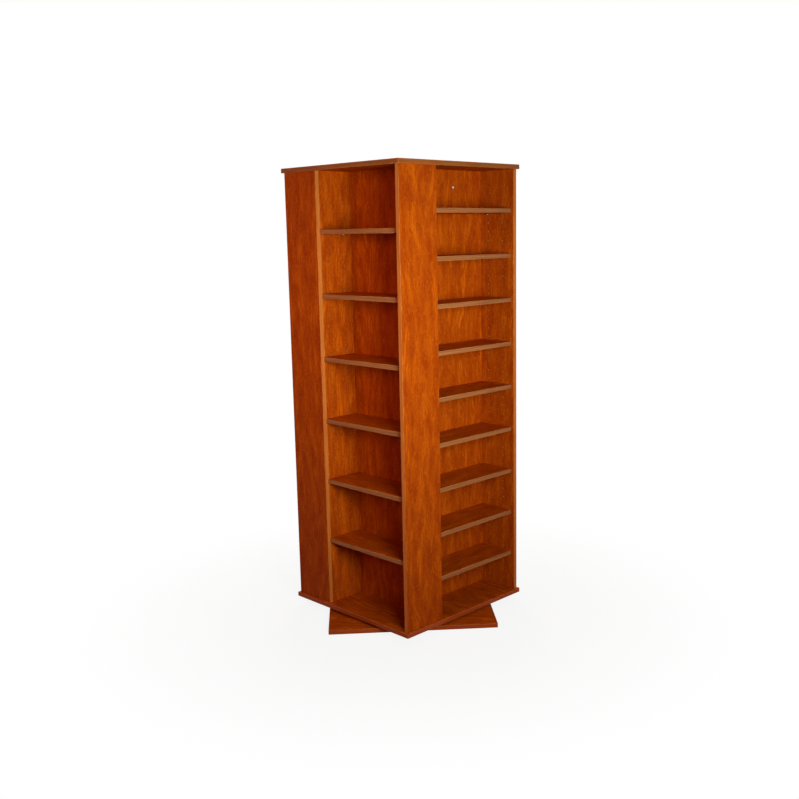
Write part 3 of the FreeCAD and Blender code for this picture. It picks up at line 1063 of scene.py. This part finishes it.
def moulded_nylon(name, dark, light):
    """Moulded nylon: slightly waxy, with the soft mottling of a spark-eroded mould."""
    made, tree, shader = finish(name, ior=1.53, roughness=0.48)
    mottle = streaks(tree, own_place(tree), MOULD_MOTTLE)
    colour = blend(tree, mottle, linear(dark), linear(light), low=0.3, high=0.7)
    lay_on(tree, shader, colour, height=mottle, strength=0.2, depth=0.05 * MM)
    return made


CAGE_NYLON = moulded_nylon("natural_moulded_nylon", "#D8D3C2", "#E8E4D6")
GLIDE_NYLON = moulded_nylon("dark_moulded_nylon", "#41352C", "#54463A")

# %% Make the balls
BALL_SUBDIVISIONS = 3

ball_solids = solids_of("bearing_balls")
ball_middles = [sum(box_of(points), Vector()) / 2 for points in ball_solids]
ball_r = max((p - ball_middles[0]).length for p in ball_solids[0])
one_ball = bmesh.new()
bmesh.ops.create_icosphere(one_ball, subdivisions=BALL_SUBDIVISIONS, radius=ball_r)
balls = repeated(one_ball, [Matrix.Translation(middle) for middle in ball_middles])
replaced = ["bearing_balls"]
hand_over("round_bearing_balls", balls, [BALL_STEEL], "ball_ring", replaced, round_all=True)
print(len(ball_middles), "balls", round(2 * ball_r / MM, 2), "mm across")

# %% Inner outline of the cage
POCKET_STEPS = 8                        # steps round the half circle that ends a pocket
BRIDGE_STEPS = 6                        # steps along the edge between two pockets


def comb(ball_count, race_r, pocket_r, inner_r):
    """A circle with a round-ended slot for each ball."""
    outline = []
    half = math.asin(pocket_r / inner_r)
    between = 2 * math.pi / ball_count
    for k in range(ball_count):
        turn = k * between
        slot = [(inner_r * math.cos(half), -pocket_r)]
        for i in range(POCKET_STEPS + 1):
            a = math.pi * (i / POCKET_STEPS - 0.5)
            slot.append((race_r + pocket_r * math.cos(a), pocket_r * math.sin(a)))
        slot.append((inner_r * math.cos(half), pocket_r))
        for i in range(1, BRIDGE_STEPS):
            a = half + (between - 2 * half) * i / BRIDGE_STEPS
            slot.append((inner_r * math.cos(a), inner_r * math.sin(a)))
        cos, sin = math.cos(turn), math.sin(turn)
        outline += [(x * cos - y * sin, x * sin + y * cos) for x, y in slot]
    return outline


# %% Make the cage
POCKET_PLAY = 0.3 * MM
CAGE_INSIDE = 2.15 * MM                 # inner edge of the cage, in from the balls' centres
CAGE_OUTSIDE = 4.4 * MM                 # outer edge, out from them
RING_SIDES = 192

cage_low, cage_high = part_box("bearing_cage")
race_r = ball_middles[0].xy.length
cage_t = cage_high.z - cage_low.z
first_turn = math.atan2(ball_middles[0].y, ball_middles[0].x)
disc = [(cage_low.z, race_r + CAGE_OUTSIDE), (cage_high.z, race_r + CAGE_OUTSIDE)]
cage = turned_part(disc, RING_SIDES)
inside = comb(len(ball_middles), race_r, ball_r + POCKET_PLAY, race_r - CAGE_INSIDE)
cage.normal_update()
sink(cage, 1, [(inside, cage_t)], through=True)
sink(cage, -1, [(inside, 0)])
bmesh.ops.remove_doubles(cage, verts=cage.verts, dist=WELD)
bmesh.ops.rotate(cage, matrix=Matrix.Rotation(first_turn, 3, "Z"), verts=cage.verts)
for face in cage.faces:
    face.material_index = 0
replaced = ["bearing_cage"]
hand_over("moulded_bearing_cage", cage, [CAGE_NYLON], "ball_ring", replaced, round_all=True)
print("cage", round(2 * (race_r + CAGE_OUTSIDE) / MM, 1), "mm across")

# %% [markdown]
# ## Glides
#
# Four flat nylon glides keep the base board off the floor. Each is nailed in through its own middle.
# The foot's lower edge is well rounded, so that it doesn't catch a carpet.

# %% Make the glides
GLIDE_D = 25 * MM
GLIDE_ROUND = 1.2 * MM
GLIDE_SIDES = 64
ROUND_STEPS = 5
NAIL_D = 2.5 * MM
NAIL_TIP_R = 0.25 * MM

glide_boxes = [box_of(points) for points in solids_of("base_glides")]
nail_top = glide_boxes[0][1].z
foot_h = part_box("base_board")[0].z
arc = [math.pi / 2 * i / ROUND_STEPS for i in range(ROUND_STEPS + 1)]
foot = [(GLIDE_ROUND * (1 - math.cos(a)), GLIDE_D / 2 - GLIDE_ROUND * (1 - math.sin(a))) for a in arc]
foot.append((foot_h, GLIDE_D / 2))
nail = [(foot_h, NAIL_D / 2), (nail_top - NAIL_D, NAIL_D / 2), (nail_top, NAIL_TIP_R)]
middles = [Vector(((low.x + high.x) / 2, (low.y + high.y) / 2, 0)) for low, high in glide_boxes]
glides = repeated(turned_part(foot + nail, GLIDE_SIDES), [Matrix.Translation(middle) for middle in middles])
replaced = ["base_glides"]
hand_over("moulded_base_glides", glides, [GLIDE_NYLON], "base", replaced, round_all=True)
print(len(middles), "glides", round(foot_h / MM, 1), "mm high")
